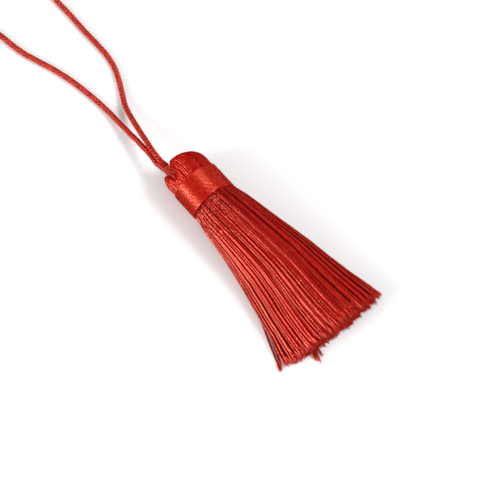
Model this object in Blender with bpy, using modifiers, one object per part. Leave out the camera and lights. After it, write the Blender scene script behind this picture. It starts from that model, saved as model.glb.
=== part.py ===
"""A red silky tassel lying on a flat surface, with its hanging loop of doubled cord.

Lengths are in millimetres in the tables below and become metres when a mesh is made.
The surface is z = 0. +X runs from the head to the cut end of the skirt, and +Y is to
the left of that way, seen from above. In the tables y = 0 is under the neck's axis. Each
object is then moved, so that the origin is under the middle of head and skirt.
"""

import math
from collections import namedtuple

import bmesh
import bpy
import numpy as np
from mathutils import Vector
from mathutils.geometry import delaunay_2d_cdt

MM = 0.001

# Where the middle of head and skirt lies in the tables
MIDDLE = (-0.2, 0.48, 0.0)

# Head: the yarn folded over the cord, with its round end towards -X
AXIS_HEIGHT = 5.55
HEAD_RADIUS = 5.40
HEAD_SAG = 0.45
RIM_X = -21.3
HOLE_RADIUS = 1.3
HOLE_Y = -2.80
HOLE_Z = 6.30
HOLE_REACH = 2.2
CREST_SHARE = 0.2
# The power of the curve over each lobe: 2 would be an ellipse, and more is fuller.
HEAD_FULLNESS = 2.6
HEAD_COLUMNS = 72
RIB_HEIGHT = 0.11
OUTER_ARCS = 6
INNER_ARCS = 2
LOBE_SOFTENING = 8.0

# Neck and its binding
NECK_RADIUS = 4.65
GAP = 0.3
BAND_START = -21.0
BAND_LENGTH = 7.0
BAND_RADIUS = 5.55
BAND_BORE = 4.98
BAND_GROOVE = 0.24
BAND_TURNS = 13
BAND_STEPS = 32
FLANGE_RADIUS = 5.38
FLANGE_LENGTH = 0.5

# Skirt
ROOT_X = BAND_START + BAND_LENGTH + GAP + FLANGE_LENGTH
SKIRT_END = 25.6
END_RAGGED = 0.55
# The cut is not quite square: how far it runs on with each millimetre across, and from where.
END_SLANT = 0.045
END_SLANT_Y = -1.5
# All yarns are about as long, so the cut bends back at its sides, by this times the square
# of the way across.
END_CURVE = 0.0048
STRAND_FILL = 0.80
STRAND_DEPTH = 0.50
DEPTH_SHARE = 0.12
INNERMOST_SHARE = 0.45
# The rings of strands shrink towards a point no lower than this share of the skirt's height.
CENTRE_SHARE = 0.40
OUTLINE_STEPS = 240

# Cord
CORD_DIAMETER = 1.3
CORD_POINT_SPACING = 2.8
CORD_BEVEL_RESOLUTION = 2

# How far each side of the head stands ahead of the rim, by the angle round the hole.
# Two lobes with a valley between them above and another below.
Lobe = namedtuple("Lobe", "angle reach")
LOBES = (
    Lobe(0, 5.95),
    Lobe(40, 6.05),
    Lobe(68, 5.95),
    Lobe(82, 4.40),
    Lobe(95, 2.30),
    Lobe(112, 2.10),
    Lobe(128, 3.40),
    Lobe(150, 4.20),
    Lobe(180, 4.40),
    Lobe(215, 4.20),
    Lobe(240, 3.40),
    Lobe(262, 4.30),
    Lobe(285, 5.40),
    Lobe(320, 5.95),
    Lobe(360, 5.95),
)

# The skirt's outline where it lies, one row for each section along the tassel: its two
# sides, the height at which it is widest, its rise above that and its drop below it, and
# how far its crest leans to one side.
Section = namedtuple("Section", "x side_low side_high middle rise drop lean")
SECTIONS = (
    Section(ROOT_X, -5.30, 5.30, 5.55, 5.30, 5.30, 0.0),
    Section(-10.0, -5.90, 6.45, 4.90, 5.75, 5.60, 0.1),
    Section(-4.5, -6.50, 7.75, 3.90, 6.35, 5.40, 0.4),
    Section(1.0, -7.35, 8.95, 3.10, 6.75, 5.00, 0.8),
    Section(6.5, -8.30, 10.10, 2.50, 6.90, 4.60, 1.2),
    Section(12.0, -9.85, 10.95, 2.05, 6.95, 4.20, 1.6),
    Section(17.5, -11.85, 12.00, 1.70, 6.95, 3.80, 2.0),
    Section(23.0, -13.45, 13.25, 1.40, 6.90, 3.50, 2.4),
    Section(27.5, -14.30, 14.20, 1.20, 6.80, 3.30, 2.7),
)

# Rings of strands, from the outside in: how many, their share of the section's size,
# and the sections that each strand is drawn through.
Ring = namedtuple("Ring", "count share stations")
OUTER_STATIONS = (-9.0, -1.5, 7.5, 16.5)
MIDDLE_STATIONS = (-7.5, 3.5, 14.5)
INNER_STATIONS = (-4.5, 10.5)
RINGS = (
    Ring(78, 1.00, OUTER_STATIONS),
    Ring(60, 0.84, MIDDLE_STATIONS),
    Ring(44, 0.67, INNER_STATIONS),
    Ring(30, 0.50, INNER_STATIONS),
    Ring(18, 0.33, INNER_STATIONS),
    Ring(7, 0.15, INNER_STATIONS),
)

# A tuft of outer strands that end past the others: the place round the ring, and how far.
TUFT = {49: 1.3, 50: 1.8, 51: 1.1}

# The knot and the frayed tie behind it, as sections along their common axis.
KNOT_FRONT = (-29.55, -3.30, 5.05)
KNOT_BACK = (-23.85, -2.78, 6.45)
KNOT_SIDES = 16
KnotSection = namedtuple("KnotSection", "share radius ridge")
KNOT_SECTIONS = (
    KnotSection(0.00, 0.70, 0.00),
    KnotSection(0.02, 1.00, 0.00),
    KnotSection(0.09, 1.22, 0.00),
    KnotSection(0.15, 1.00, 0.00),
    KnotSection(0.22, 1.24, 0.00),
    KnotSection(0.29, 1.02, 0.00),
    KnotSection(0.35, 1.16, 0.00),
    KnotSection(0.41, 0.80, 0.05),
    KnotSection(0.60, 0.80, 0.08),
    KnotSection(0.85, 0.82, 0.08),
    KnotSection(0.97, 0.66, 0.06),
    KnotSection(1.00, 0.40, 0.00),
)

# The cord's route, chosen by hand: out of the knot, down to the surface, round the
# loop's end and back to the knot.
CORD_ROUTE = (
    (-29.9, -3.65, 4.50),
    (-32.9, -3.35, 4.30),
    (-35.1, -3.30, 3.90),
    (-37.3, -3.20, 3.40),
    (-39.8, -3.20, 2.75),
    (-42.3, -3.12, 2.10),
    (-44.9, -3.05, 1.45),
    (-47.5, -3.02, 0.98),
    (-50.0, -3.12, 0.74),
    (-52.5, -3.34, 0.68),
    (-56.9, -3.96, 0.68),
    (-60.8, -4.75, 0.68),
    (-64.6, -5.80, 0.68),
    (-68.6, -7.20, 0.68),
    (-72.1, -8.40, 0.68),
    (-75.3, -9.10, 0.68),
    (-79.1, -9.65, 0.68),
    (-83.5, -10.55, 0.68),
    (-88.0, -10.90, 0.68),
    (-92.5, -9.20, 0.68),
    (-95.8, -5.90, 0.68),
    (-96.8, -1.60, 0.68),
    (-95.3, 2.50, 0.68),
    (-91.9, 5.30, 0.68),
    (-87.5, 6.30, 0.68),
    (-82.5, 6.20, 0.68),
    (-77.9, 5.85, 0.68),
    (-72.5, 5.90, 0.68),
    (-67.7, 5.80, 0.68),
    (-63.1, 5.89, 0.68),
    (-59.2, 5.78, 0.68),
    (-55.7, 5.10, 0.68),
    (-52.2, 3.65, 0.74),
    (-49.2, 2.07, 0.98),
    (-46.3, 0.63, 1.50),
    (-42.7, -0.45, 2.55),
    (-38.8, -1.35, 3.75),
    (-34.9, -2.15, 4.85),
    (-32.9, -2.60, 5.40),
    (-29.9, -2.90, 5.75),
)


def section_at(x):
    """The skirt's section at x, between the rows of the table."""
    places = [section.x for section in SECTIONS]
    return Section(*(float(np.interp(x, places, values)) for values in zip(*SECTIONS)))


def clear_scene():
    for obj in list(bpy.data.objects):
        bpy.data.objects.remove(obj)


def make_material(name, colour, roughness):
    material = bpy.data.materials.new(name)
    material.use_nodes = True
    shader = material.node_tree.nodes["Principled BSDF"]
    shader.inputs["Base Color"].default_value = (*colour, 1.0)
    shader.inputs["Roughness"].default_value = roughness
    shader.inputs["Metallic"].default_value = 0.0
    return material


def add_object(name, data, material, collection):
    obj = bpy.data.objects.new(name, data)
    obj.location = -MM * Vector(MIDDLE)
    data.materials.append(material)
    collection.objects.link(obj)
    return obj


def loft(bm, rings):
    """Quads between rings of the same number of points. Returns the rings' vertices."""
    made = [[bm.verts.new(Vector(point) * MM) for point in ring] for ring in rings]
    for lower, upper in zip(made, made[1:]):
        count = len(lower)
        for i in range(count):
            j = (i + 1) % count
            bm.faces.new((lower[i], lower[j], upper[j], upper[i]))
    return made


def fan(bm, ring, point):
    """Closes a ring of vertices with triangles that meet at a point."""
    tip = bm.verts.new(Vector(point) * MM)
    for i, vertex in enumerate(ring):
        bm.faces.new((vertex, ring[(i + 1) % len(ring)], tip))


def finish_mesh(bm, name, sharp_degrees):
    bmesh.ops.recalc_face_normals(bm, faces=bm.faces[:])
    mesh = bpy.data.meshes.new(name)
    bm.to_mesh(mesh)
    bm.free()
    mesh.shade_smooth()
    mesh.set_sharp_from_angle(angle=math.radians(sharp_degrees))
    return mesh


def lobe_reach(angle):
    """How far the lobe stands ahead of the rim at this angle round the hole, in degrees."""
    angles = [lobe.angle for lobe in LOBES]
    reaches = [lobe.reach for lobe in LOBES]
    turns = (-LOBE_SOFTENING, 0.0, LOBE_SOFTENING)
    return float(np.mean([np.interp((angle + turn) % 360.0, angles, reaches) for turn in turns]))


def rim_point(angle, radius):
    """A point of the head's round rim. Its lower side sags onto the surface, flat where it lies."""
    y = radius * math.cos(angle)
    z = AXIS_HEIGHT + (radius + HEAD_SAG * max(0.0, -math.sin(angle)) ** 6) * math.sin(angle)
    return np.array([y, max(z, 0.0)])


def head_column(index):
    """The head's points along one column of yarn, from the rim over the lobe into the hole."""
    angle = 2.0 * math.pi * (index + 0.5) / HEAD_COLUMNS
    rib = RIB_HEIGHT if index % 2 else -RIB_HEIGHT
    hole = np.array([HOLE_Y, HOLE_Z])
    rim = rim_point(angle, HEAD_RADIUS)
    away = rim - hole
    width = np.linalg.norm(away)
    away = away / width
    reach = lobe_reach(math.degrees(math.atan2(away[1], away[0])) % 360.0)
    crest = HOLE_RADIUS + CREST_SHARE * (width - HOLE_RADIUS)
    profile = []
    for step in range(OUTER_ARCS):
        turn = 0.5 * math.pi * step / OUTER_ARCS
        fall, rise = math.cos(turn) ** (2.0 / HEAD_FULLNESS), math.sin(turn) ** (2.0 / HEAD_FULLNESS)
        profile.append((crest + (width + rib - crest) * fall, (reach + rib) * rise))
    for step in range(INNER_ARCS + 1):
        turn = 0.5 * math.pi * step / INNER_ARCS
        ahead = HOLE_REACH + (reach + rib - HOLE_REACH) * math.cos(turn)
        profile.append((crest - (crest - HOLE_RADIUS) * math.sin(turn), ahead))
    points = []
    for side, ahead in profile:
        y, z = hole + away * side
        points.append((RIM_X - ahead, y, max(z, 0.0)))
    return points


def ring_at(x, radius):
    """A round section of the neck."""
    points = []
    for index in range(HEAD_COLUMNS):
        angle = 2.0 * math.pi * (index + 0.5) / HEAD_COLUMNS
        points.append((x, radius * math.cos(angle), AXIS_HEIGHT + radius * math.sin(angle)))
    return points


def outline(x):
    """The skirt's outline at x: centre, points from +Y upwards, way walked at each, quarter marks."""
    section = section_at(x)
    middle_y = 0.5 * (section.side_low + section.side_high)
    top = section.middle + section.rise
    centre_z = max(section.middle, CENTRE_SHARE * top)
    centre = np.array([middle_y + section.lean * centre_z / top, centre_z])
    angles = np.linspace(0.0, 2.0 * math.pi, OUTLINE_STEPS, endpoint=False)
    z = section.middle + np.where(np.sin(angles) > 0.0, section.rise, section.drop) * np.sin(angles)
    z = np.maximum(z, 0.0)
    y = middle_y + 0.5 * (section.side_high - section.side_low) * np.cos(angles)
    loop = np.column_stack([y + section.lean * z / top, z])
    steps = np.linalg.norm(np.roll(loop, -1, axis=0) - loop, axis=1)
    # Places round it are counted from the top and the bottom, so that neither turns along the skirt.
    walked = np.concatenate([[0.0], np.cumsum(steps)])
    quarter, three = OUTLINE_STEPS // 4, 3 * OUTLINE_STEPS // 4
    marks = [walked[quarter] - 0.5 * (walked[-1] - walked[three] + walked[quarter])]
    marks += [walked[quarter], 0.5 * (walked[quarter] + walked[three]), walked[three]]
    marks.append(marks[0] + walked[-1])
    return centre, loop, walked, marks


def outline_point(shape, share):
    """The point at a share of the way round an outline, and its outward direction."""
    _, loop, walked, marks = shape
    target = float(np.interp(share % 1.0, (0.0, 0.25, 0.5, 0.75, 1.0), marks)) % walked[-1]
    closed = np.vstack([loop, loop[:1]])
    reach = walked[-1] / OUTLINE_STEPS

    def along(distance):
        distance = distance % walked[-1]
        return np.array([np.interp(distance, walked, closed[:, k]) for k in range(2)])

    way = along(target + reach) - along(target - reach)
    way = way / np.linalg.norm(way)
    return along(target), np.array([way[1], -way[0]])


def strand_section(x, share, ring_share, count):
    """The three corners of a strand where it crosses the section at x.

    A strand in the lower part of the skirt has its flat side down, and any other has a
    ridge outwards.
    """
    shape = outline(x)
    centre = shape[0]

    def levels(place):
        """The strand's outer and inner level at a place round the ring."""
        edge, outward = outline_point(shape, place)
        room = ring_share * np.dot(edge - centre, outward)
        depth = min(STRAND_DEPTH, DEPTH_SHARE * room / ring_share, INNERMOST_SHARE * room)
        outer = centre + ring_share * (edge - centre)
        return outer, outer - outward * depth

    outer, inner = levels(share)
    before, after = levels(share - 0.5 / count), levels(share + 0.5 / count)
    if 0.5 < share % 1.0 < 1.0:
        across = 0.5 * STRAND_FILL * (after[0] - before[0])
        corners = [outer + across, inner, outer - across]
    else:
        across = 0.5 * STRAND_FILL * (after[1] - before[1])
        corners = [outer, inner - across, inner + across]
    return [(y, max(z, 0.0)) for y, z in corners]


def strand(bm, root, stations, share, ring_share, count, end):
    """One three-sided strand, from the corners of its root in the neck's end to a cut end."""
    lower = root
    for x in (*stations, end):
        corners = strand_section(x, share, ring_share, count)
        upper = [bm.verts.new(Vector((x, *corner)) * MM) for corner in corners]
        for i in range(3):
            j = (i + 1) % 3
            bm.faces.new((lower[i], lower[j], upper[j], upper[i]))
        lower = upper
    bm.faces.new(lower)


def root_face(bm, border, roots):
    """Fills the neck's end between the strands' roots. Returns the roots' vertices, strand by strand."""
    flat = [Vector((vertex.co.y, vertex.co.z)) / MM for vertex in border]
    owner = [-1] * len(flat)
    kept_edges = []
    for number, corners in enumerate(roots):
        first = len(flat)
        flat += [Vector(corner) for corner in corners]
        owner += [number] * 3
        kept_edges += [(first, first + 1), (first + 1, first + 2), (first + 2, first)]
    _, _, triangles, sources, _, _ = delaunay_2d_cdt(flat, kept_edges, [], 0, 1e-5)
    x = border[0].co.x
    inner = [bm.verts.new((x, point.x * MM, point.y * MM)) for point in flat[len(border):]]
    vertices = list(border) + inner
    for triangle in triangles:
        corners = [sources[i][0] for i in triangle]
        owners = {owner[i] for i in corners}
        if len(owners) == 1 and -1 not in owners:
            continue
        bm.faces.new([vertices[i] for i in corners])
    return [inner[3 * number:3 * number + 3] for number in range(len(roots))]


def yarn_bundle(material, collection):
    """Head, neck and skirt: one body, because the same yarn runs through all of them."""
    bm = bmesh.new()
    columns = [head_column(index) for index in range(HEAD_COLUMNS)]
    rows = [list(row) for row in zip(*columns)][::-1]
    rows.append(ring_at(RIM_X, NECK_RADIUS))
    band_end = BAND_START + BAND_LENGTH
    rows.append(ring_at(band_end + GAP, NECK_RADIUS))
    rows.append(ring_at(band_end + GAP, FLANGE_RADIUS))
    rows.append(ring_at(ROOT_X, FLANGE_RADIUS))
    made = loft(bm, rows)
    fan(bm, made[0], (RIM_X - HOLE_REACH, HOLE_Y, HOLE_Z))

    random = np.random.default_rng(55)
    plans = []
    for count, ring_share, stations in RINGS:
        for index in range(count):
            share = (index + 0.5) / count
            end_y = strand_section(SKIRT_END, share, ring_share, count)[0][0]
            end = SKIRT_END + END_SLANT * (end_y - END_SLANT_Y) - END_CURVE * end_y**2
            end += END_RAGGED * random.uniform(-1.0, 0.6)
            if ring_share == 1.0:
                end += TUFT.get(index, 0.0)
            plans.append((stations, share, ring_share, count, end))
    roots = [strand_section(ROOT_X, *plan[1:4]) for plan in plans]
    for root, plan in zip(root_face(bm, made[-1], roots), plans):
        strand(bm, root, *plan)
    return add_object("yarn_bundle", finish_mesh(bm, "yarn_bundle", 40.0), material, collection)


def neck_band(material, collection):
    """The binding thread's turns side by side, as one ring round the neck."""
    pitch = BAND_LENGTH / BAND_TURNS
    # The facets' flats, and not their corners, reach the full radius, so one flat meets the surface.
    reach = BAND_RADIUS / math.cos(math.pi / BAND_STEPS)
    profile = [(reach - BAND_GROOVE, BAND_LENGTH)]
    for turn in range(BAND_TURNS):
        top = BAND_LENGTH - turn * pitch
        profile.append((reach, top - 0.5 * pitch))
        profile.append((reach - BAND_GROOVE, top - pitch))
    profile += [(BAND_BORE, 0.0), (BAND_BORE, BAND_LENGTH)]
    mesh = bpy.data.meshes.new("neck_band")
    count = len(profile)
    mesh.from_pydata(
        [(radius * MM, 0.0, height * MM) for radius, height in profile],
        [(i, (i + 1) % count) for i in range(count)],
        [],
    )
    obj = add_object("neck_band", mesh, material, collection)
    # The ring's own Z axis lies along the tassel, and half a step of turn lays a facet down.
    obj.rotation_mode = "ZYX"
    obj.rotation_euler = (0.0, math.pi / 2.0, math.pi / BAND_STEPS)
    obj.location += MM * Vector((BAND_START, 0.0, AXIS_HEIGHT))
    screw = obj.modifiers.new("turn", "SCREW")
    screw.axis = "Z"
    screw.steps = BAND_STEPS
    screw.render_steps = BAND_STEPS
    screw.use_merge_vertices = False
    screw.use_smooth_shade = True
    return obj


def cord_knot(material, collection):
    """The knot's turns and, behind it, the frayed tie that runs into the head."""
    front, back = Vector(KNOT_FRONT), Vector(KNOT_BACK)
    axis = (back - front).normalized()
    side = axis.cross(Vector((0.0, 0.0, 1.0))).normalized()
    up = side.cross(axis)
    rings = []
    for share, radius, ridge in KNOT_SECTIONS:
        centre = front.lerp(back, share)
        ring = []
        for index in range(KNOT_SIDES):
            angle = 2.0 * math.pi * index / KNOT_SIDES
            reach = radius + (ridge if index % 2 else -ridge)
            ring.append(centre + (side * math.cos(angle) + up * math.sin(angle)) * reach)
        rings.append(ring)
    bm = bmesh.new()
    made = loft(bm, rings)
    fan(bm, made[0], front)
    fan(bm, made[-1], back)
    return add_object("cord_knot", finish_mesh(bm, "cord_knot", 50.0), material, collection)


def smooth_route(points, spacing):
    """Points at an even spacing on the smooth curve through the route's own points."""
    given = np.array(points, float)
    padded = np.vstack([2.0 * given[0] - given[1], given, 2.0 * given[-1] - given[-2]])
    fine = []
    for a, b, c, d in zip(padded, padded[1:], padded[2:], padded[3:]):
        for t in np.linspace(0.0, 1.0, 20, endpoint=False):
            fine.append(
                0.5 * (2.0 * b + (c - a) * t + (2.0 * a - 5.0 * b + 4.0 * c - d) * t**2
                       + (3.0 * b - a - 3.0 * c + d) * t**3)
            )
    fine = np.array([*fine, given[-1]])
    walked = np.concatenate([[0.0], np.cumsum(np.linalg.norm(np.diff(fine, axis=0), axis=1))])
    count = int(round(walked[-1] / spacing)) + 1
    marks = np.linspace(0.0, walked[-1], count)
    return np.column_stack([np.interp(marks, walked, fine[:, k]) for k in range(3)])


def cord_loop(material, collection):
    """The doubled cord as one tube, both ends at the knot."""
    points = smooth_route(CORD_ROUTE, CORD_POINT_SPACING)
    curve = bpy.data.curves.new("cord_loop", "CURVE")
    curve.dimensions = "3D"
    curve.bevel_depth = 0.5 * CORD_DIAMETER * MM
    curve.bevel_resolution = CORD_BEVEL_RESOLUTION
    curve.use_fill_caps = True
    spline = curve.splines.new("POLY")
    spline.points.add(len(points) - 1)
    for place, point in zip(spline.points, points):
        place.co = (*(Vector(point) * MM), 1.0)
    return add_object("cord_loop", curve, material, collection)


def main():
    clear_scene()
    tassel = bpy.data.collections.new("tassel")
    bpy.context.scene.collection.children.link(tassel)
    yarn_bundle(make_material("yarn_red", (0.56, 0.016, 0.012), 0.42), tassel)
    neck_band(make_material("binding_red", (0.60, 0.018, 0.012), 0.38), tassel)
    cord_knot(make_material("knot_red", (0.42, 0.012, 0.014), 0.55), tassel)
    cord_loop(make_material("cord_red", (0.58, 0.030, 0.020), 0.50), tassel)


main()
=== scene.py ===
"""The looks of a red silky tassel that lies on a pale floor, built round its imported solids.

Lengths are in millimetres until a mesh is made, apart from those of floor and lights, which
are in metres. z = 0 is the floor, +X runs from the head to the cut end of the skirt, and +Y
is to the left of that way. In the tables y = 0 is under the neck's axis; the frame's origin
is under the middle of head and skirt.
"""

import math
from collections import namedtuple

import bpy
import numpy as np
from mathutils import Matrix, Vector


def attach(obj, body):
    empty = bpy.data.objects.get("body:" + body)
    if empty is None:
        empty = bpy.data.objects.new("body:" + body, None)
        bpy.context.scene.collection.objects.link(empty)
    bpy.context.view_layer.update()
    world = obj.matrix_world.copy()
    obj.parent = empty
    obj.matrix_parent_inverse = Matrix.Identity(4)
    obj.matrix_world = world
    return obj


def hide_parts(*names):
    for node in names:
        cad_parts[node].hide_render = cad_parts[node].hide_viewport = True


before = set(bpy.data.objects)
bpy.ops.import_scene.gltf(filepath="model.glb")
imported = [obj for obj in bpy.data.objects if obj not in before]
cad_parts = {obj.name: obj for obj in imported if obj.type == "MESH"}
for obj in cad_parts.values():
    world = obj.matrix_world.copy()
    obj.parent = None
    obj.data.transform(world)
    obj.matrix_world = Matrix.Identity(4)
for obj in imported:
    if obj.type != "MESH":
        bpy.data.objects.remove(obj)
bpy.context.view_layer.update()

MM = 0.001
FULL_TURN = 2.0 * math.pi
# Where the middle of head and skirt, and so the frame's origin, lies in the tables
MIDDLE = (-0.2, 0.48, 0.0)

# Camera: the photograph's view from above, in the tables' millimetres and in degrees
IMAGE_SIZE = 480
SENSOR_WIDTH = 36.0
VIEW_TARGET = (-4.9, -0.36, 0.0)
VIEW_DISTANCE = 600.0
VIEW_AZIMUTH = 49.26
VIEW_ELEVATION = 70.0
PIXELS_PER_MM = 4.424
CLIP_METRES = (0.01, 10.0)

# Cord: its route goes out of the knot, down to the surface, round the loop's end and back.
CORD_ROUTE = (
    (-29.9, -3.65, 4.50),
    (-32.9, -3.35, 4.30),
    (-35.1, -3.30, 3.90),
    (-37.3, -3.20, 3.40),
    (-39.8, -3.20, 2.75),
    (-42.3, -3.12, 2.10),
    (-44.9, -3.05, 1.45),
    (-47.5, -3.02, 0.98),
    (-50.0, -3.12, 0.74),
    (-52.5, -3.34, 0.68),
    (-56.9, -3.96, 0.68),
    (-60.8, -4.75, 0.68),
    (-64.6, -5.80, 0.68),
    (-68.6, -7.20, 0.68),
    (-72.1, -8.40, 0.68),
    (-75.3, -9.10, 0.68),
    (-79.1, -9.65, 0.68),
    (-83.5, -10.55, 0.68),
    (-88.0, -10.90, 0.68),
    (-92.5, -9.20, 0.68),
    (-95.8, -5.90, 0.68),
    (-96.8, -1.60, 0.68),
    (-95.3, 2.50, 0.68),
    (-91.9, 5.30, 0.68),
    (-87.5, 6.30, 0.68),
    (-82.5, 6.20, 0.68),
    (-77.9, 5.85, 0.68),
    (-72.5, 5.90, 0.68),
    (-67.7, 5.80, 0.68),
    (-63.1, 5.89, 0.68),
    (-59.2, 5.78, 0.68),
    (-55.7, 5.10, 0.68),
    (-52.2, 3.65, 0.74),
    (-49.2, 2.07, 0.98),
    (-46.3, 0.63, 1.50),
    (-42.7, -0.45, 2.55),
    (-38.8, -1.35, 3.75),
    (-34.9, -2.15, 4.85),
    (-32.9, -2.60, 5.40),
    (-29.9, -2.90, 5.75),
)
ROUTE_STEPS = 20

# Braid of the cord: strands each way, length of one turn, and a strand's half sizes
BRAID_STRANDS = 4
BRAID_TURN = 3.6
BRAID_RADIUS = 0.47
BRAID_CROSSING = 0.09
BRAID_WIDTH = 0.23
BRAID_THICKNESS = 0.15
BRAID_SIDES = 5
BRAID_STEP = 0.12
# A tube inside the braid, coloured near black: painted shade in the gaps between its strands.
CORE_RADIUS = 0.42
CORE_POINTS = 400
CORE_SIDES = 8

# Knot: one thread, given by its half sizes, in turns round the doubled cord. The axis goes
# from front to back, and the cord's ends meet at its heart, this share of the way along.
KNOT_FRONT = (-29.55, -3.30, 5.05)
KNOT_BACK = (-23.85, -2.78, 6.45)
KNOT_HEART_SHARE = 0.2
KNOT_TURNS = 3.2
KNOT_STEPS = 100
KNOT_START = 0.2
KNOT_LENGTH = 2.1
KNOT_RADIUS = 0.74
KNOT_UNEVENNESS = 0.06
KNOT_WAVES = 3.0
KNOT_THREAD = (0.42, 0.38)
KNOT_SIDES = 10

# Frayed ends behind the knot: how many and how thick, how far along the knot's axis and how
# far from it they pass, how much they stray, and how they rise into the head's valley
TIE_FIBRES = 110
TIE_RADIUS = 0.12
TIE_WIDTH = 0.98
TIE_LENGTHS = (4.4, 7.2)
TIE_ALONG = (1.6, 2.7)
TIE_SPREAD = (0.55, 0.95, 1.25, 1.50)
TIE_STRAY = (0.08, 0.20)
TIE_LIFT = 0.9
TIE_SLOPE = 0.62
TIE_STEPS = 6
TIE_POINTS = 14
TIE_SIDES = 5

# Head: a folded hank with a lobed front round the hole that the knot sits in
AXIS_HEIGHT = 5.55
HEAD_RADIUS = 5.40
HEAD_SAG = 0.45
SAG_POWER = 6
RIM_X = -21.3
HOLE_RADIUS = 1.3
HOLE_Y = -2.80
HOLE_Z = 6.30
HOLE_REACH = 2.2
CREST_SHARE = 0.2
HEAD_FULLNESS = 2.6
LOBE_SOFTENING = 8.0
# Places under the band, along X and from the neck's axis, where the head's yarns start
NECK_STATIONS = ((-19.4, 4.85), (-20.6, 5.02))
# How far the yarns are tucked in at the rim, and over which share of their outer way
RIM_TUCK = 0.22
TUCK_SHARE = 0.25
# How unevenly the yarns lie: in shares of their spacing, in degrees and in millimetres
SPACING_STRAY = (-0.25, 0.25)
DRIFT_DEGREES = (-2.5, 2.5)
LIFT_STRAY = (-0.07, 0.05)
# Head and band are a little wider than high, as the tassel lies on its side.
WIDENING = 1.055
WIDE_SHIFT = -0.12

# How far the front stands ahead of the rim, at angles round the hole, in degrees
Lobe = namedtuple("Lobe", "angle reach")
LOBES = (
    Lobe(0, 5.95),
    Lobe(40, 6.05),
    Lobe(68, 5.95),
    Lobe(82, 4.40),
    Lobe(95, 2.30),
    Lobe(112, 2.10),
    Lobe(128, 3.40),
    Lobe(150, 4.20),
    Lobe(180, 4.40),
    Lobe(215, 4.20),
    Lobe(240, 3.40),
    Lobe(262, 4.30),
    Lobe(285, 5.40),
    Lobe(320, 5.95),
    Lobe(360, 5.95),
)

# The head's yarns: how many, how deep under the surface, how thick, and in how many steps
# each one runs over its lobe and into the hole
HeadLayer = namedtuple("HeadLayer", "count depth radius outer_steps inner_steps")
TOP_YARNS = HeadLayer(66, 0.0, 0.30, 12, 6)
UNDER_YARNS = HeadLayer(60, 0.42, 0.36, 10, 5)
HEAD_YARN_SIDES = 6
# Steps of the curve between two places of such a yarn, and points of its tube for each place
HEAD_CURVE_STEPS = 3
HEAD_TUBE_POINTS = 2

# Neck band: one flat thread, how uneven its turns are, and where it starts
BAND_START = -21.0
BAND_LENGTH = 7.0
BAND_RADIUS = 5.55
BAND_TURNS = 14
BAND_STEPS = 84
BAND_SIDES = 10
BAND_START_ANGLE = 1.2
BAND_STRAY = 0.045
BAND_SWELL = 0.025
BAND_MARKS_STEP = 0.25
THREAD_HEIGHT = 0.19
THREAD_WIDTH_SHARE = 0.55

# Skirt: its root, how far its yarns reach under the band before that, and its ragged cut,
# which is slanted and curved
ROOT_X = -13.2
UNDER_BAND = 2.4
SKIRT_END = 25.6
END_RAGGED = 0.55
END_SLANT = 0.045
END_SLANT_Y = -1.5
END_CURVE = 0.0048
# Its outline: how high its centre lies at least, as a share of its top, how many steps go
# round it, and how far to both sides its direction is measured
CENTRE_SHARE = 0.40
OUTLINE_STEPS = 240
TANGENT_REACH = 0.4

# Sections of the outline: where each side lies, how high its widest place is, how far it goes
# up and down from there, and how far its top leans over
Section = namedtuple("Section", "x side_low side_high middle rise drop lean")
SECTIONS = (
    Section(ROOT_X, -5.30, 5.30, 5.55, 5.30, 5.30, 0.0),
    Section(-10.0, -5.90, 6.45, 4.90, 5.75, 5.60, 0.1),
    Section(-4.5, -6.50, 7.75, 3.90, 6.35, 5.40, 0.4),
    Section(1.0, -7.35, 8.95, 3.10, 6.75, 5.00, 0.8),
    Section(6.5, -8.30, 10.10, 2.50, 6.90, 4.60, 1.2),
    Section(12.0, -9.85, 10.95, 2.05, 6.95, 4.20, 1.6),
    Section(17.5, -11.85, 12.00, 1.70, 6.95, 3.80, 2.0),
    Section(23.0, -13.45, 13.25, 1.40, 6.90, 3.50, 2.4),
    Section(27.5, -14.30, 14.20, 1.20, 6.80, 3.30, 2.7),
)

# Layers of yarn in the skirt, from the outside in: how many yarns, their share of the
# section's size, how deep they start under the surface and how deep they end, and how
# many points and sides each yarn's tube has.
Layer = namedtuple("Layer", "count share start_depth end_depth points sides")
LAYERS = (
    Layer(84, 1.00, 0.00, 0.10, 44, 8),
    Layer(62, 1.00, 0.62, 0.25, 40, 8),
    Layer(72, 0.91, 0.10, 0.10, 26, 6),
    Layer(58, 0.79, 0.10, 0.10, 14, 5),
    Layer(46, 0.65, 0.10, 0.10, 12, 5),
    Layer(34, 0.50, 0.10, 0.10, 12, 5),
    Layer(22, 0.34, 0.10, 0.10, 12, 5),
    Layer(10, 0.17, 0.10, 0.10, 12, 5),
)

# Ways along X over which something grows from nothing to the whole: a yarn's freedom to
# stray, its rise from under the band, its depth, its thickness, and the low side's gathering
Ramp = namedtuple("Ramp", "start length")
FREE = Ramp(ROOT_X, 12.0)
OUT_OF_BAND = Ramp(BAND_START + BAND_LENGTH - 0.75, 0.7)
SETTLED = Ramp(ROOT_X, 26.0)
THICKENED = Ramp(ROOT_X, 14.0)
WIDENED = Ramp(ROOT_X, 38.0)
GATHERED = Ramp(7.0, 11.0)

# A yarn of the skirt: how thick, and how it varies from yarn to yarn
YARN_RADIUS = 0.36
YARN_RADIUS_STRAY = (0.82, 1.08)
YARN_PLACE_STRAY = (-0.34, 0.34)
RAGGED_STRAY = (-1.0, 0.7)
WAVE_LENGTHS = (14.0, 30.0)
WAVE_SIZES = (0.02, 0.10)
TIP_TAPER = 0.6
# Its thickness at the root and what is added on the way, for all layers and for the outer
THIN = (0.62, 0.38)
SLIM = (0.84, 0.24)
# How the points of an outer yarn crowd towards its root
OUTER_CROWDING = 1.4
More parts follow.
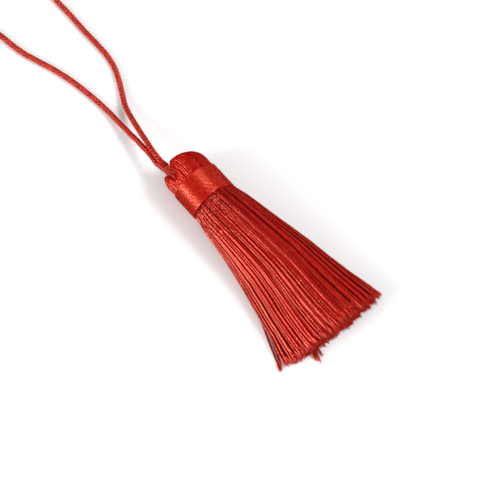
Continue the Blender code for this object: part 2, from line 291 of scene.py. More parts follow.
# How deep its middle lies at the root and what is added on the way: in shares of the radius,
# and in millimetres times its own draw. Under the band it is pressed deeper still.
SINK = (0.62, 0.38)
OWN_SINK = (0.06, 0.44)
BAND_PRESS = 0.50
# How far the outer layers stand proud of the section, and how much more at the root
SWELL = (0.44, 0.06)
# Towards the end the low side is drawn together: how far at most, and over which way down Y
GATHERING = 1.3
GATHER_SIDE = Ramp(6.0, 5.5)

# Yarns that lie on the floor apart from the skirt's low side, from the skirt to their ends
SIDE_YARNS = (
    (
        (6.0, -7.6, 1.1), (10.5, -8.6, 0.7), (15.9, -10.6, 0.3),
        (18.9, -11.75, 0.3), (24.0, -13.55, 0.3),
    ),
    (
        (7.0, -7.2, 1.3), (11.5, -8.5, 0.9), (16.6, -10.1, 0.4),
        (19.6, -11.2, 0.3), (23.4, -12.85, 0.3),
    ),
)
SIDE_YARN_RADIUS = 0.22

# Yarns that reach past the cut, together on the floor
TUFT = (
    ((18.0, -3.5, 0.9), (22.7, -4.2, 0.7), (26.2, -5.0, 0.5), (28.1, -5.6, 0.4)),
    ((18.0, -4.3, 0.9), (22.8, -4.8, 0.7), (25.8, -5.5, 0.5), (27.3, -6.0, 0.4)),
    ((18.0, -2.9, 0.9), (22.5, -3.4, 0.7), (26.0, -4.1, 0.5), (27.2, -4.3, 0.4)),
)
TUFT_RADIUS = 0.30
LOOSE_STEPS = 8
LOOSE_POINTS = 40
LOOSE_SIDES = 6

# Frayed fibres at each cut end: how many, where they start before the end, bend near it and
# stop after it, how far they stray at those three places, and how thick they are on the way
FRAY_FIBRES = 7
FRAY_STARTS = (0.7, 1.4)
FRAY_BENDS = (-0.3, 0.2)
FRAY_LENGTHS = (0.15, 0.95)
FRAY_STRAY = (0.13, 0.16, 0.14)
FRAY_RADII = (0.06, 0.12)
FRAY_TAPER = (1.0, 1.0, 1.0, 0.8, 0.5)
FRAY_SIDES = 4

# Silk: colours from its dark to its light places, plies, how far apart their ridges lie along
# the strand, the depth of its relief, roughness, the shine's colour, and the crest: how strong
# a painted highlight along the outer side is, with painted shade on the flanks between strands
RED_SHINE = (1.0, 0.20, 0.14)
ORANGE_SHINE = (1.0, 0.20, 0.12)
Silk = namedtuple(
    "Silk", "dark middle light plies twist depth roughness shine crest", defaults=(RED_SHINE, 0.0)
)
# A crest above zero paints a highlight along each strand's outer side and shade on its flanks.
SILKS = {
    "yarn_silk": Silk(
        (0.11, 0.0003, 0.0002), (0.30, 0.002, 0.0008), (0.49, 0.012, 0.007),
        plies=2, twist=0.9, depth=0.018, roughness=0.17, crest=1.9,
    ),
    # The same yarn for the under layers, its darkest colour lifted: painted fill light in the gaps.
    "under_painted_fill_silk": Silk(
        (0.15, 0.0005, 0.0003), (0.24, 0.001, 0.0006), (0.32, 0.004, 0.002),
        plies=2, twist=0.9, depth=0.016, roughness=0.28, crest=0.6,
    ),
    "fray_silk": Silk(
        (0.32, 0.002, 0.001), (0.48, 0.005, 0.003), (0.62, 0.014, 0.009),
        plies=1, twist=0.8, depth=0.006, roughness=0.45,
    ),
    # The skirt's yarn with lighter colours: painted light on the head.
    "head_painted_light_silk": Silk(
        (0.31, 0.001, 0.0005), (0.42, 0.005, 0.0025), (0.53, 0.012, 0.007),
        plies=2, twist=1.3, depth=0.022, roughness=0.20, shine=ORANGE_SHINE,
    ),
    "band_silk": Silk(
        (0.32, 0.004, 0.001), (0.41, 0.008, 0.002), (0.49, 0.013, 0.005),
        plies=2, twist=0.9, depth=0.012, roughness=0.27, shine=ORANGE_SHINE,
    ),
    "cord_silk": Silk(
        (0.10, 0.0006, 0.0006), (0.40, 0.003, 0.002), (0.72, 0.030, 0.014),
        plies=1, twist=0.8, depth=0.008, roughness=0.36, crest=1.6,
    ),
    "core_painted_shade_silk": Silk(
        (0.08, 0.001, 0.002), (0.12, 0.002, 0.003), (0.16, 0.004, 0.005),
        plies=1, twist=0.8, depth=0.010, roughness=0.60,
    ),
    "knot_silk": Silk(
        (0.14, 0.001, 0.001), (0.34, 0.005, 0.005), (0.60, 0.030, 0.026),
        plies=1, twist=0.5, depth=0.015, roughness=0.46,
    ),
    "end_silk": Silk(
        (0.34, 0.008, 0.007), (0.60, 0.030, 0.026), (0.85, 0.14, 0.12),
        plies=1, twist=0.6, depth=0.010, roughness=0.46, crest=0.6,
    ),
}
SILK_IOR = 1.8
SILK_SPECULAR = 1.0
SHEEN_WEIGHT = 0.02
SHEEN_ROUGHNESS = 0.4
SHEEN_TINT = (1.0, 0.20, 0.15)
ROUGHNESS_SPREAD = 0.2
# Fibres round a strand, and along it for each ridge of a ply
FIBRES_ROUND = 7
FIBRES_ALONG = 2.0
# Noise of clouds and specks: cells in a metre, and detail
CLOUD_NOISE = (700.0, 3.0)
SPECK_NOISE = (4200.0, 1.0)
# What the relief is made of, beside the plies
FIBRE_RELIEF = 0.06
SPECK_RELIEF = 0.5
# How far a strand's tone turns its twist, in radians
TONE_TURN = 9.0
# What the shade is made of, where the ramp's three colours lie in it, and the height of the
# outer side's wave at which the painted crest changes nothing (painted highlight above, shade
# below)
TONE_SHADE = 0.18
BASE_SHADE = 0.02
# The ply's share paints its ridges lighter and its grooves darker: painted highlight and shade.
PLY_PAINTED_SHADE = 0.13
CLOUD_SHADE = 0.55
SPECK_SHADE = 0.45
SHADE_STOPS = (0.15, 0.5, 0.9)
PAINTED_CREST_LEVEL = 0.8

# Sharp edges of the tubes are those at their cut ends.
SHARP_DEGREES = 80.0
# A path that starts more upright than this has its first direction across along X, not Z.
STEEP = 0.9
SEED = 7

# Floor, in metres: half its side, how far it lies below z = 0, and its greys
FLOOR_HALF = 1.2
FLOOR_DROP = 0.00002
FLOOR_GREYS = ((0.3, 0.885), (0.7, 0.90))
FLOOR_NOISE = (9.0, 2.0)
FLOOR_ROUGHNESS = 0.65
FLOOR_SPECULAR = 0.2

# Lights: where each stands and how far off, its width and length in metres, where a round
# one has no length, and its watts. A gloss light is seen only in the shine, any other only
# in the rest. A long light lies along the tassel.
Light = namedtuple("Light", "name direction distance width length watts gloss")
LIGHTS = (
    Light("key", (0.33, 0.52, 0.79), 1.6, 0.7, None, 16.0, False),
    Light("fill", (0.0, 0.0, 1.0), 1.2, 3.0, None, 18.0, False),
    Light("left_fill", (-0.20, -0.85, 0.45), 1.4, 0.8, None, 15.0, False),
    Light("skirt_gloss", (-0.16, -0.95, 0.26), 1.2, 0.06, 0.70, 14.5, True),
    Light("left_gloss", (-0.48, -0.86, 0.20), 1.2, 0.12, 0.36, 3.6, True),
    Light("right_gloss", (-0.08, 0.97, 0.20), 1.2, 0.12, 0.50, 1.3, True),
    Light("high_gloss", (0.62, 0.36, 0.70), 1.6, 0.4, None, 30.0, True),
    Light("band_gloss", (0.52, -0.84, 0.12), 1.3, 0.9, None, 8.0, True),
)
WORLD_STRENGTH = 0.05

random = np.random.default_rng(SEED)


# Geometry


def unit(vectors):
    return vectors / np.linalg.norm(vectors, axis=-1, keepdims=True)


def squared_to(directions, tangents):
    """Directions turned square to the tangents, as unit vectors."""
    return unit(directions - tangents * np.sum(directions * tangents, axis=-1, keepdims=True))


def walked(paths):
    """The way walked along each path, at each of its points."""
    steps = np.linalg.norm(np.diff(paths, axis=1), axis=2)
    return np.concatenate([np.zeros((len(paths), 1)), np.cumsum(steps, axis=1)], axis=1)


def carried_normals(paths):
    """A direction across each path, carried along it without a twist."""
    tangents = unit(np.gradient(paths, axis=1))
    steep = np.abs(tangents[:, :1, 2]) > STEEP
    start = np.where(steep[:, :, None], (1.0, 0.0, 0.0), (0.0, 0.0, 1.0))
    normals = np.empty_like(paths)
    last = start[:, 0]
    for k in range(paths.shape[1]):
        last = squared_to(last, tangents[:, k])
        normals[:, k] = last
    return normals


def sweep(name, paths, half_width, half_height, sides, material, normals=None):
    """One mesh of a tube along each of the paths. Its strand map holds the way walked, in
    millimetres, and the share of the way round. No point goes lower than the floor, and
    each strand has a tone of its own, from -1 to 1."""
    count, points, _ = paths.shape
    normals = carried_normals(paths) if normals is None else normals
    across = unit(np.cross(unit(np.gradient(paths, axis=1)), normals))
    angles = FULL_TURN * np.arange(sides) / sides
    width = np.broadcast_to(half_width, (count, points))[:, :, None, None]
    height = np.broadcast_to(half_height, (count, points))[:, :, None, None]
    vertices = paths[:, :, None] + across[:, :, None] * width * np.cos(angles)[:, None]
    vertices = vertices + normals[:, :, None] * height * np.sin(angles)[:, None]
    vertices[..., 2] = np.maximum(vertices[..., 2], 0.0)

    tube, ring, side = np.meshgrid(range(count), range(points - 1), range(sides), indexing="ij")
    after = (side + 1) % sides
    low, high = (tube * points + ring) * sides, (tube * points + ring + 1) * sides
    quads = np.stack([low + side, low + after, high + after, high + side], axis=-1).reshape(-1, 4)
    way = walked(paths)
    u_low, u_high = way[tube, ring], way[tube, ring + 1]
    v_low, v_high = side / sides, (side + 1) / sides
    u = np.stack([u_low, u_low, u_high, u_high], axis=-1)
    v = np.stack([v_low, v_high, v_high, v_low], axis=-1)
    starts = (np.arange(count) * points * sides)[:, None]
    caps = np.concatenate([
        starts + np.arange(sides)[::-1],
        starts + (points - 1) * sides + np.arange(sides),
    ])
    cap_u = np.repeat(np.concatenate([way[:, 0], way[:, -1]]), sides)
    cap_v = np.tile(np.arange(sides) / sides, 2 * count)
    maps = np.concatenate([
        np.stack([u, v], axis=-1).reshape(-1, 2),
        np.stack([cap_u, cap_v], axis=-1),
    ])

    mesh = bpy.data.meshes.new(name)
    mesh.from_pydata((vertices.reshape(-1, 3) - MIDDLE) * MM, [], quads.tolist() + caps.tolist())
    mesh.uv_layers.new(name="strand").data.foreach_set("uv", maps.ravel())
    tones = np.repeat(random.uniform(-1.0, 1.0, count), points * sides)
    mesh.attributes.new("tone", "FLOAT", "POINT").data.foreach_set("value", tones)
    mesh.shade_smooth()
    mesh.set_sharp_from_angle(angle=math.radians(SHARP_DEGREES))
    mesh.materials.append(material)
    obj = bpy.data.objects.new(name, mesh)
    bpy.context.scene.collection.objects.link(obj)
    return obj


def finish_piece(obj, nodes=()):
    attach(obj, "root")
    if nodes:
        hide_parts(*nodes)
    return obj


def resampled(points, count):
    """Points at an even spacing along a line."""
    points = np.asarray(points, float)
    way = walked(points[None])[0]
    marks = np.linspace(0.0, way[-1], count)
    return np.column_stack([np.interp(marks, way, points[:, k]) for k in range(3)])


def smooth_line(points, steps):
    """A smooth curve through the points, with a number of steps between each two."""
    given = np.array(points, float)
    padded = np.vstack([2.0 * given[0] - given[1], given, 2.0 * given[-1] - given[-2]])
    fine = []
    for a, b, c, d in zip(padded, padded[1:], padded[2:], padded[3:]):
        for t in np.linspace(0.0, 1.0, steps, endpoint=False):
            fine.append(
                0.5 * (2.0 * b + (c - a) * t + (2.0 * a - 5.0 * b + 4.0 * c - d) * t**2
                       + (3.0 * b - a - 3.0 * c + d) * t**3)
            )
    return np.array([*fine, given[-1]])


def grown(ramp, x):
    """How much of a ramp, from 0 to 1, lies behind x."""
    return np.clip((x - ramp.start) / ramp.length, 0.0, 1.0)


# Materials


def math_node(tree, operation, *inputs):
    """A Math node's output. Each input is a number or another node's output."""
    node = tree.nodes.new("ShaderNodeMath")
    node.operation = operation
    for place, given in enumerate(inputs):
        if isinstance(given, (int, float)):
            node.inputs[place].default_value = given
        else:
            tree.links.new(given, node.inputs[place])
    return node.outputs[0]


def weighted(tree, total, part, weight):
    """A total with a weighted part added to it."""
    return math_node(tree, "ADD", total, math_node(tree, "MULTIPLY", part, weight))


def noise(tree, scale, detail):
    """Noise over the object's own coordinates, about 0.5, at so many cells a metre."""
    place = tree.nodes.new("ShaderNodeTexCoord")
    node = tree.nodes.new("ShaderNodeTexNoise")
    node.inputs["Scale"].default_value = scale
    node.inputs["Detail"].default_value = detail
    tree.links.new(place.outputs["Object"], node.inputs["Vector"])
    return node.outputs["Fac"]


def colour_ramp(tree, factor, stops):
    """A colour ramp over a factor. Each stop is a place and a colour."""
    node = tree.nodes.new("ShaderNodeValToRGB")
    elements = node.color_ramp.elements
    while len(elements) < len(stops):
        elements.new(0.5)
    for element, (place, colour) in zip(elements, stops):
        element.position = place
        element.color = (*colour, 1.0)
    tree.links.new(factor, node.inputs["Fac"])
    return node.outputs["Color"]


def new_material(name):
    """A material with its node tree and shader."""
    material = bpy.data.materials.new(name)
    material.use_nodes = True
    return material, material.node_tree, material.node_tree.nodes["Principled BSDF"]


def silk(name, look):
    """Silky twisted thread: helical plies and fine fibres in its bump, with each strand a
    tone of its own, and a shine with a colour. Its colour also holds painted light: ply ridges
    painted lighter and grooves darker, and a crest that paints a highlight along the outer side
    and shade on the flanks."""
    material, tree, shader = new_material(name)
    strand_map = tree.nodes.new("ShaderNodeUVMap")
    strand_map.uv_map = "strand"
    parts = tree.nodes.new("ShaderNodeSeparateXYZ")
    tree.links.new(strand_map.outputs["UV"], parts.inputs[0])
    along, around = parts.outputs[0], parts.outputs[1]
    tone_node = tree.nodes.new("ShaderNodeAttribute")
    tone_node.attribute_name = "tone"
    tone = tone_node.outputs["Fac"]

    turn = math_node(tree, "MULTIPLY", along, FULL_TURN / look.twist)
    turn = weighted(tree, turn, tone, TONE_TURN)
    ply = math_node(tree, "SINE", weighted(tree, turn, around, FULL_TURN * look.plies))
    fibre_turn = math_node(tree, "MULTIPLY", turn, FIBRES_ALONG)
    fibre = math_node(tree, "SINE", weighted(tree, fibre_turn, around, FULL_TURN * FIBRES_ROUND))
    cloud = noise(tree, *CLOUD_NOISE)
    speck = noise(tree, *SPECK_NOISE)
    height = weighted(tree, ply, fibre, FIBRE_RELIEF)
    height = weighted(tree, height, speck, SPECK_RELIEF)
    bump = tree.nodes.new("ShaderNodeBump")
    bump.inputs["Strength"].default_value = 1.0
    bump.inputs["Distance"].default_value = look.depth * MM
    tree.links.new(height, bump.inputs["Height"])
    tree.links.new(bump.outputs["Normal"], shader.inputs["Normal"])

    # Tone, clouds and specks are the silk's own; the ply's share is painted highlight and shade.
    shade = math_node(tree, "MULTIPLY_ADD", tone, TONE_SHADE, BASE_SHADE)
    for part, weight in ((ply, PLY_PAINTED_SHADE), (cloud, CLOUD_SHADE), (speck, SPECK_SHADE)):
        shade = weighted(tree, shade, part, weight)
    # Crest: painted highlight along the strand's outer side and painted shade on its flanks.
    if look.crest:
        outwards = math_node(tree, "SINE", math_node(tree, "MULTIPLY", around, FULL_TURN))
        crest = math_node(tree, "MULTIPLY_ADD", outwards, look.crest, -PAINTED_CREST_LEVEL * look.crest)
        shade = math_node(tree, "ADD", shade, crest)
    colour = colour_ramp(tree, shade, list(zip(SHADE_STOPS, (look.dark, look.middle, look.light))))
    tree.links.new(colour, shader.inputs["Base Color"])
    lowest = look.roughness - 0.5 * ROUGHNESS_SPREAD
    rough = math_node(tree, "MULTIPLY_ADD", speck, ROUGHNESS_SPREAD, lowest)
    tree.links.new(rough, shader.inputs["Roughness"])
    shader.inputs["Metallic"].default_value = 0.0
    shader.inputs["IOR"].default_value = SILK_IOR
    shader.inputs["Specular IOR Level"].default_value = SILK_SPECULAR
    shader.inputs["Specular Tint"].default_value = (*look.shine, 1.0)
    shader.inputs["Sheen Weight"].default_value = SHEEN_WEIGHT
    shader.inputs["Sheen Roughness"].default_value = SHEEN_ROUGHNESS
    shader.inputs["Sheen Tint"].default_value = (*SHEEN_TINT, 1.0)
    return material


def floor_material():
    material, tree, shader = new_material("floor_white")
    stops = [(place, (grey, grey, grey)) for place, grey in FLOOR_GREYS]
    colour = colour_ramp(tree, noise(tree, *FLOOR_NOISE), stops)
    tree.links.new(colour, shader.inputs["Base Color"])
    shader.inputs["Roughness"].default_value = FLOOR_ROUGHNESS
    shader.inputs["Specular IOR Level"].default_value = FLOOR_SPECULAR
    return material


silks = {name: silk(name, look) for name, look in SILKS.items()}


# Camera


def make_camera():
    azimuth, elevation = math.radians(VIEW_AZIMUTH), math.radians(VIEW_ELEVATION)
    back = Vector((
        math.sin(azimuth) * math.cos(elevation),
        -math.cos(azimuth) * math.cos(elevation),
        math.sin(elevation),
    ))
    right = Vector((math.cos(azimuth), math.sin(azimuth), 0.0))
    up = back.cross(right)
    data = bpy.data.cameras.new("camera")
    data.sensor_width = SENSOR_WIDTH
    data.lens = SENSOR_WIDTH * PIXELS_PER_MM * VIEW_DISTANCE / IMAGE_SIZE
    data.clip_start, data.clip_end = CLIP_METRES
    camera = bpy.data.objects.new("camera", data)
    turn = Matrix((right, up, back)).transposed()
    place = Vector(VIEW_TARGET) - Vector(MIDDLE) + back * VIEW_DISTANCE
    camera.matrix_world = Matrix.Translation(place * MM) @ turn.to_4x4()
    bpy.context.scene.collection.objects.link(camera)
    bpy.context.scene.camera = camera


make_camera()


# Cord and knot


def braid(name, line, material):
    """A round braid along a line: strands that wind both ways and pass over and under."""
    line = np.asarray(line, float)
    normal = carried_normals(line[None])[0]
    across = np.cross(unit(np.gradient(line, axis=0)), normal)
    turns = FULL_TURN * walked(line[None])[0] / BRAID_TURN
    centres, outward = [], []
    for sense in (1.0, -1.0):
        lift = sense * BRAID_CROSSING * np.cos(BRAID_STRANDS * turns)
        for number in range(BRAID_STRANDS):
            angle = sense * turns + FULL_TURN * number / BRAID_STRANDS
            out = across * np.cos(angle)[:, None] + normal * np.sin(angle)[:, None]
            centres.append(line + out * (BRAID_RADIUS + lift)[:, None])
            outward.append(out)
    centres = np.array(centres)
    outward = squared_to(np.array(outward), unit(np.gradient(centres, axis=1)))
    return sweep(
        name, centres, BRAID_WIDTH, BRAID_THICKNESS, BRAID_SIDES, material, normals=outward
    )


route = smooth_line(CORD_ROUTE, ROUTE_STEPS)
route_length = walked(route[None])[0][-1]
knot_heart = np.array(KNOT_FRONT) * (1.0 - KNOT_HEART_SHARE)
knot_heart = knot_heart + np.array(KNOT_BACK) * KNOT_HEART_SHARE
into_knot = [0.5 * (route[0] + knot_heart), knot_heart]
out_of_knot = [knot_heart, 0.5 * (route[-1] + knot_heart)]
whole_cord = smooth_line([*out_of_knot, *CORD_ROUTE[::-1], *into_knot], ROUTE_STEPS)
braid_line = resampled(whole_cord, int(route_length / BRAID_STEP))
cord = braid("braided_cord", braid_line, silks["cord_silk"])
finish_piece(cord, ["cord_loop"])
# Near-black core: painted shade seen through the braid's gaps.
core_line = resampled(whole_cord, CORE_POINTS)[None]
core = sweep("cord_core", core_line, CORE_RADIUS, CORE_RADIUS, CORE_SIDES, silks["core_painted_shade_silk"])
finish_piece(core)


def knot():
    """The knot's turns round the doubled cord, and behind it the cord's ends, frayed out."""
    front, back = np.array(KNOT_FRONT), np.array(KNOT_BACK)
    axis = unit(back - front)
    side = unit(np.cross(axis, (0.0, 0.0, 1.0)))
    up = np.cross(side, axis)

    def out_at(angle):
        return side * np.cos(angle)[:, None] + up * np.sin(angle)[:, None]

    share = np.linspace(0.0, 1.0, KNOT_STEPS)
    angle = FULL_TURN * KNOT_TURNS * share
    reach = KNOT_RADIUS + KNOT_UNEVENNESS * np.sin(KNOT_WAVES * angle)
    centres = front + axis * (KNOT_START + KNOT_LENGTH * share)[:, None]
    wrap = centres + out_at(angle) * reach[:, None]
    wrap_obj = sweep("knot_turns", wrap[None], *KNOT_THREAD, KNOT_SIDES, silks["knot_silk"])
    finish_piece(wrap_obj, ["cord_knot"])

    angle = random.uniform(0.0, FULL_TURN, TIE_FIBRES)
    out = out_at(angle) * (TIE_WIDTH * np.sqrt(random.uniform(0.0, 1.0, TIE_FIBRES)))[:, None]
    length = random.uniform(*TIE_LENGTHS, TIE_FIBRES)[:, None]
    lift = up * (TIE_LIFT + TIE_SLOPE * (length - TIE_LENGTHS[0]))
    near, far = TIE_ALONG
    points = [
        front + axis * near,
        front + axis * far,
        front + axis * 0.5 * (far + length) + 0.5 * lift,
        front + axis * length + lift,
    ]
    points = [point + spread * out for point, spread in zip(points, TIE_SPREAD)]
    for place, stray in zip((2, 3), TIE_STRAY):
        points[place] = points[place] + random.normal(0.0, stray, (TIE_FIBRES, 3))
    fibres = np.stack(points, axis=1)
    lines = [resampled(smooth_line(fibre, TIE_STEPS), TIE_POINTS) for fibre in fibres]
    ends = sweep("cord_ends", np.array(lines), TIE_RADIUS, TIE_RADIUS, TIE_SIDES, silks["end_silk"])
    finish_piece(ends)
    return [wrap_obj, ends]


knot_pieces = knot()


# Head


def flattened(paths):
    """Paths of head and band, a little wider than high, as the tassel lies on its side."""
    wide = paths.copy()
    wide[..., 1] = WIDENING * wide[..., 1] + WIDE_SHIFT
    return wide


def lobe_reach(angle):
    """How far the lobe stands ahead of the rim at this angle round the hole, in degrees."""
    angles = [lobe.angle for lobe in LOBES]
    reaches = [lobe.reach for lobe in LOBES]
    turns = (-LOBE_SOFTENING, 0.0, LOBE_SOFTENING)
    return float(np.mean([np.interp((angle + turn) % 360.0, angles, reaches) for turn in turns]))


def head_point(angle, step, layer, lift):
    """A point of a head's yarn, this many steps from the rim, at an angle round the neck. The
    yarn runs over its lobe along a full round curve, then down into the hole."""
    sag = HEAD_SAG * max(0.0, -math.sin(angle)) ** SAG_POWER
    rim = np.array([
        HEAD_RADIUS * math.cos(angle),
        AXIS_HEIGHT + (HEAD_RADIUS + sag) * math.sin(angle),
    ])
    hole = np.array([HOLE_Y, HOLE_Z])
    width = np.linalg.norm(rim - hole)
    away = (rim - hole) / width
    height = lobe_reach(math.degrees(math.atan2(away[1], away[0])) % 360.0) + lift - layer.radius
    crest = HOLE_RADIUS + CREST_SHARE * (width - HOLE_RADIUS)
    if step < layer.outer_steps:
        turn = 0.5 * math.pi * step / layer.outer_steps
        fall = math.cos(turn) ** (2.0 / HEAD_FULLNESS)
        rise = math.sin(turn) ** (2.0 / HEAD_FULLNESS)
        tuck = RIM_TUCK * (1.0 - min(1.0, step / (TUCK_SHARE * layer.outer_steps)))
        side = crest + (width + lift - layer.radius - tuck - crest) * fall
        ahead = height * rise
    else:
        turn = 0.5 * math.pi * (step - layer.outer_steps) / layer.inner_steps
        side = crest - (crest - HOLE_RADIUS) * math.sin(turn)
        ahead = HOLE_REACH + (height - HOLE_REACH) * math.cos(turn)
    y, z = hole + away * side
    return RIM_X - ahead, y, max(z, layer.radius)


def head_yarns(name, layer, material):
    """Yarns that come from under the band, run over the lobes and turn into the hole."""
    total = layer.outer_steps + layer.inner_steps
    paths = []
    for index in range(layer.count):
        angle = FULL_TURN * (index + 0.5 + random.uniform(*SPACING_STRAY)) / layer.count
        drift = math.radians(random.uniform(*DRIFT_DEGREES))
        lift = random.uniform(*LIFT_STRAY) - layer.depth
        points = []
        for x, neck in NECK_STATIONS:
            away = neck - layer.depth
            points.append((x, away * math.cos(angle), AXIS_HEIGHT + away * math.sin(angle)))
        for step in range(total + 1):
            points.append(head_point(angle + drift * step / total, step, layer, lift))
        line = smooth_line(points, HEAD_CURVE_STEPS)
        paths.append(resampled(line, HEAD_TUBE_POINTS * total))
    paths = flattened(np.array(paths))
    return sweep(name, paths, layer.radius, layer.radius, HEAD_YARN_SIDES, material)


top_yarns = head_yarns("head_yarns", TOP_YARNS, silks["head_painted_light_silk"])
finish_piece(top_yarns, ["yarn_bundle"])
finish_piece(head_yarns("head_under_yarns", UNDER_YARNS, silks["head_painted_light_silk"]))


# Neck band


def band_thread(material):
    """One flat thread wound round the neck, its turns side by side and not quite even."""
    total = BAND_TURNS * BAND_STEPS
    turns = np.arange(total + 1) / BAND_STEPS
    pitch = BAND_LENGTH / BAND_TURNS
    marks = np.arange(0, BAND_TURNS + 1, BAND_MARKS_STEP)
    stray = np.interp(turns, marks, random.normal(0.0, BAND_STRAY, len(marks)))
    swell = np.interp(turns, marks, random.normal(0.0, BAND_SWELL, len(marks)))
    angle = FULL_TURN * turns + BAND_START_ANGLE
    reach = BAND_RADIUS - THREAD_HEIGHT + swell
    x = BAND_START + 0.5 * pitch + (BAND_LENGTH - pitch) * turns / BAND_TURNS + stray
    outward = np.column_stack([np.zeros(total + 1), np.cos(angle), np.sin(angle)])
    axis = np.column_stack([x, np.zeros(total + 1), np.full(total + 1, AXIS_HEIGHT)])
    path = flattened((outward * reach[:, None] + axis)[None])
    width = THREAD_WIDTH_SHARE * pitch
    obj = sweep(
        "neck_thread", path, width, THREAD_HEIGHT, BAND_SIDES, material, normals=outward[None]
    )
    return finish_piece(obj, ["neck_band"])


band_thread(silks["band_silk"])


# Skirt


def outline(x):
    """The skirt's outline at x: centre, points round it, way walked at each, quarter marks."""
    places = [section.x for section in SECTIONS]
    section = Section(*(float(np.interp(x, places, values)) for values in zip(*SECTIONS)))
    middle_y = 0.5 * (section.side_low + section.side_high)
    top = section.middle + section.rise
    centre_z = max(section.middle, CENTRE_SHARE * top)
    centre = np.array([middle_y + section.lean * centre_z / top, centre_z])
    angles = np.linspace(0.0, FULL_TURN, OUTLINE_STEPS, endpoint=False)
    reach = np.where(np.sin(angles) > 0.0, section.rise, section.drop)
    z = np.maximum(section.middle + reach * np.sin(angles), 0.0)
    y = middle_y + 0.5 * (section.side_high - section.side_low) * np.cos(angles)
    loop = np.column_stack([y + section.lean * z / top, z])
    steps = np.linalg.norm(np.roll(loop, -1, axis=0) - loop, axis=1)
    way = np.concatenate([[0.0], np.cumsum(steps)])
    quarter, three = OUTLINE_STEPS // 4, 3 * OUTLINE_STEPS // 4
    marks = [way[quarter] - 0.5 * (way[-1] - way[three] + way[quarter])]
    marks += [way[quarter], 0.5 * (way[quarter] + way[three]), way[three]]
    marks.append(marks[0] + way[-1])
    return centre, loop, way, marks


def skirt_points(x, places, share, sink):
    """Points of the section at x, and the way out at each: places round it from 0 to 1, sunk
    inwards from a share of it."""
    centre, loop, way, marks = outline(x)
    target = np.interp(places % 1.0, (0.0, 0.25, 0.5, 0.75, 1.0), marks)
    closed = np.vstack([loop, loop[:1]])

    def along(distance):
        distance = distance % way[-1]
        return np.column_stack([np.interp(distance, way, closed[:, k]) for k in range(2)])

    edge = along(target)
    ahead = unit(along(target + TANGENT_REACH) - along(target - TANGENT_REACH))
    outward = np.column_stack([ahead[:, 1], -ahead[:, 0]])
    return centre + share * (edge - centre) - outward * sink[:, None], outward


def skirt_layer(layer, number, material):
    """One layer of the skirt's yarns, drawn from under the band to their cut ends. Returns
    the ends and the ways that they point."""
    count = layer.count
    outer = layer.share == 1.0
    place = (np.arange(count) + 0.5 + random.uniform(*YARN_PLACE_STRAY, count)) / count
    ragged = END_RAGGED * random.uniform(*RAGGED_STRAY, count)
    own_depth = random.uniform(0.0, 1.0, count)
    wave_length = random.uniform(*WAVE_LENGTHS, count)
    wave_phase = random.uniform(0.0, FULL_TURN, count)
    wave_size = random.uniform(*WAVE_SIZES, count) / count
    start_x = ROOT_X - UNDER_BAND
    end_y = skirt_points(SKIRT_END, place, layer.share, np.full(count, YARN_RADIUS))[0][:, 0]
    end = SKIRT_END + ragged + END_SLANT * (end_y - END_SLANT_Y) - END_CURVE * end_y**2
    share_along = np.linspace(0.0, 1.0, layer.points) ** (OUTER_CROWDING if outer else 1.0)
    xs = start_x + (SKIRT_END - start_x) * share_along
    rows, ways_out = [], []
    for x, part in zip(xs, share_along):
        free, clear = grown(FREE, x), grown(OUT_OF_BAND, x)
        swell = (SWELL[0] + SWELL[1] * (1.0 - free)) * clear if outer else 0.0
        buried = layer.start_depth + (layer.end_depth - layer.start_depth) * grown(SETTLED, x)
        sink = YARN_RADIUS * layer.share * (SINK[0] + SINK[1] * free)
        sink = sink + own_depth * (OWN_SINK[0] + OWN_SINK[1] * free) * layer.share
        sink = sink + (1.0 - clear) * BAND_PRESS - swell + buried
        wave = wave_size * np.sin(FULL_TURN * x / wave_length + wave_phase) * free
        points, out = skirt_points(x, place + wave, layer.share, sink)
        points[:, 0] += GATHERING * grown(GATHERED, x) * grown(GATHER_SIDE, -points[:, 0])
        along = start_x + (end - start_x) * part
        rows.append(np.column_stack([along, points]))
        ways_out.append(np.column_stack([np.zeros(count), out]))
    paths = np.array(rows).transpose(1, 0, 2)
    size = THIN[0] + THIN[1] * grown(THICKENED, xs)
    if outer:
        size = size * (SLIM[0] + SLIM[1] * grown(WIDENED, xs))
    radius = YARN_RADIUS * size[None] * random.uniform(*YARN_RADIUS_STRAY, (count, 1))
    radius[:, -1] *= TIP_TAPER
    paths[..., 2] = np.maximum(paths[..., 2], radius)
    # The normals point outward, so the painted crest highlight lies on each yarn's outer side.
    outward = squared_to(np.array(ways_out).transpose(1, 0, 2), unit(np.gradient(paths, axis=1)))
    name = f"skirt_yarns_{number}"
    finish_piece(sweep(name, paths, radius, radius, layer.sides, material, normals=outward))
    return yarn_ends(paths)


def yarn_ends(paths):
    """The last point of each path, and the way it goes there."""
    return paths[:, -1], unit(paths[:, -1] - paths[:, -2])


def loose_yarns(name, lines, radius, material):
    """Single yarns that lie apart from the rest, each along a line of its own. Returns the
    ends and the ways that they point."""
    paths = np.array([resampled(smooth_line(line, LOOSE_STEPS), LOOSE_POINTS) for line in lines])
    radii = np.full(paths.shape[:2], radius)
    radii[:, -1] *= TIP_TAPER
    paths[..., 2] = np.maximum(paths[..., 2], radii)
    finish_piece(sweep(name, paths, radii, radii, LOOSE_SIDES, material))
    return yarn_ends(paths)


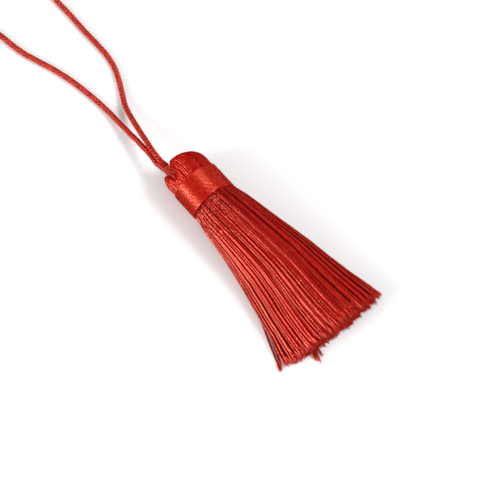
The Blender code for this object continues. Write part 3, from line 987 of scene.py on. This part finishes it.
def frayed_ends(tips, ways, material):
    """Loose fibres at the yarns' cut ends, a millimetre or two long and spread a little."""
    tips, ways = np.repeat(tips, FRAY_FIBRES, axis=0), np.repeat(ways, FRAY_FIBRES, axis=0)
    count = len(tips)
    aside = random.normal(0.0, 1.0, (count, 3))
    aside = aside - ways * np.sum(aside * ways, axis=1, keepdims=True)
    start = tips - ways * random.uniform(*FRAY_STARTS, (count, 1)) + FRAY_STRAY[0] * aside
    bend = tips + ways * random.uniform(*FRAY_BENDS, (count, 1)) + FRAY_STRAY[1] * aside
    end = bend + ways * random.uniform(*FRAY_LENGTHS, (count, 1))
    end = end + FRAY_STRAY[2] * random.normal(0.0, 1.0, (count, 3))
    paths = np.stack([start, 0.5 * (start + bend), bend, 0.5 * (bend + end), end], axis=1)
    radius = random.uniform(*FRAY_RADII, (count, 1)) * np.array(FRAY_TAPER)
    paths[..., 2] = np.maximum(paths[..., 2], radius)
    finish_piece(sweep("frayed_ends", paths, radius, radius, FRAY_SIDES, material))


ends = []
for number, layer in enumerate(LAYERS, 1):
    ends.append(skirt_layer(layer, number, silks["yarn_silk" if number == 1 else "under_painted_fill_silk"]))
ends.append(loose_yarns("side_yarns", SIDE_YARNS, SIDE_YARN_RADIUS, silks["yarn_silk"]))
ends.append(loose_yarns("tuft", TUFT, TUFT_RADIUS, silks["yarn_silk"]))
frayed_ends(*(np.concatenate(part) for part in zip(*ends)), silks["fray_silk"])


# Floor and lights


def make_floor():
    signs = ((-1, -1), (1, -1), (1, 1), (-1, 1))
    corners = [(x * FLOOR_HALF, y * FLOOR_HALF, 0.0) for x, y in signs]
    mesh = bpy.data.meshes.new("floor")
    mesh.from_pydata(corners, [], [(0, 1, 2, 3)])
    mesh.materials.append(floor_material())
    floor = bpy.data.objects.new("floor", mesh)
    floor.location.z = -FLOOR_DROP
    floor.visible_glossy = False
    bpy.context.scene.collection.objects.link(floor)


def make_light(given):
    """An area light that shines at the tassel: a disk, or a rectangle if it has a length."""
    towards = Vector(given.direction).normalized()
    data = bpy.data.lights.new(given.name, "AREA")
    data.size = given.width
    data.energy = given.watts
    light = bpy.data.objects.new(given.name, data)
    light.rotation_mode = "QUATERNION"
    if given.length:
        data.shape = "RECTANGLE"
        data.size_y = given.length
        long_way = (Vector((1.0, 0.0, 0.0)) - towards * towards.x).normalized()
        axes = Matrix((long_way.cross(towards), long_way, towards)).transposed()
        light.rotation_quaternion = axes.to_quaternion()
    else:
        data.shape = "DISK"
        light.rotation_quaternion = towards.to_track_quat("Z", "Y")
    light.location = towards * given.distance
    light.visible_diffuse = not given.gloss
    light.visible_glossy = given.gloss
    bpy.context.scene.collection.objects.link(light)


make_floor()
for given in LIGHTS:
    make_light(given)
world = bpy.data.worlds.new("studio")
world.use_nodes = True
background = world.node_tree.nodes["Background"]
background.inputs["Color"].default_value = (1.0, 1.0, 1.0, 1.0)
background.inputs["Strength"].default_value = WORLD_STRENGTH
bpy.context.scene.world = world
bpy.context.scene.view_settings.view_transform = "Standard"
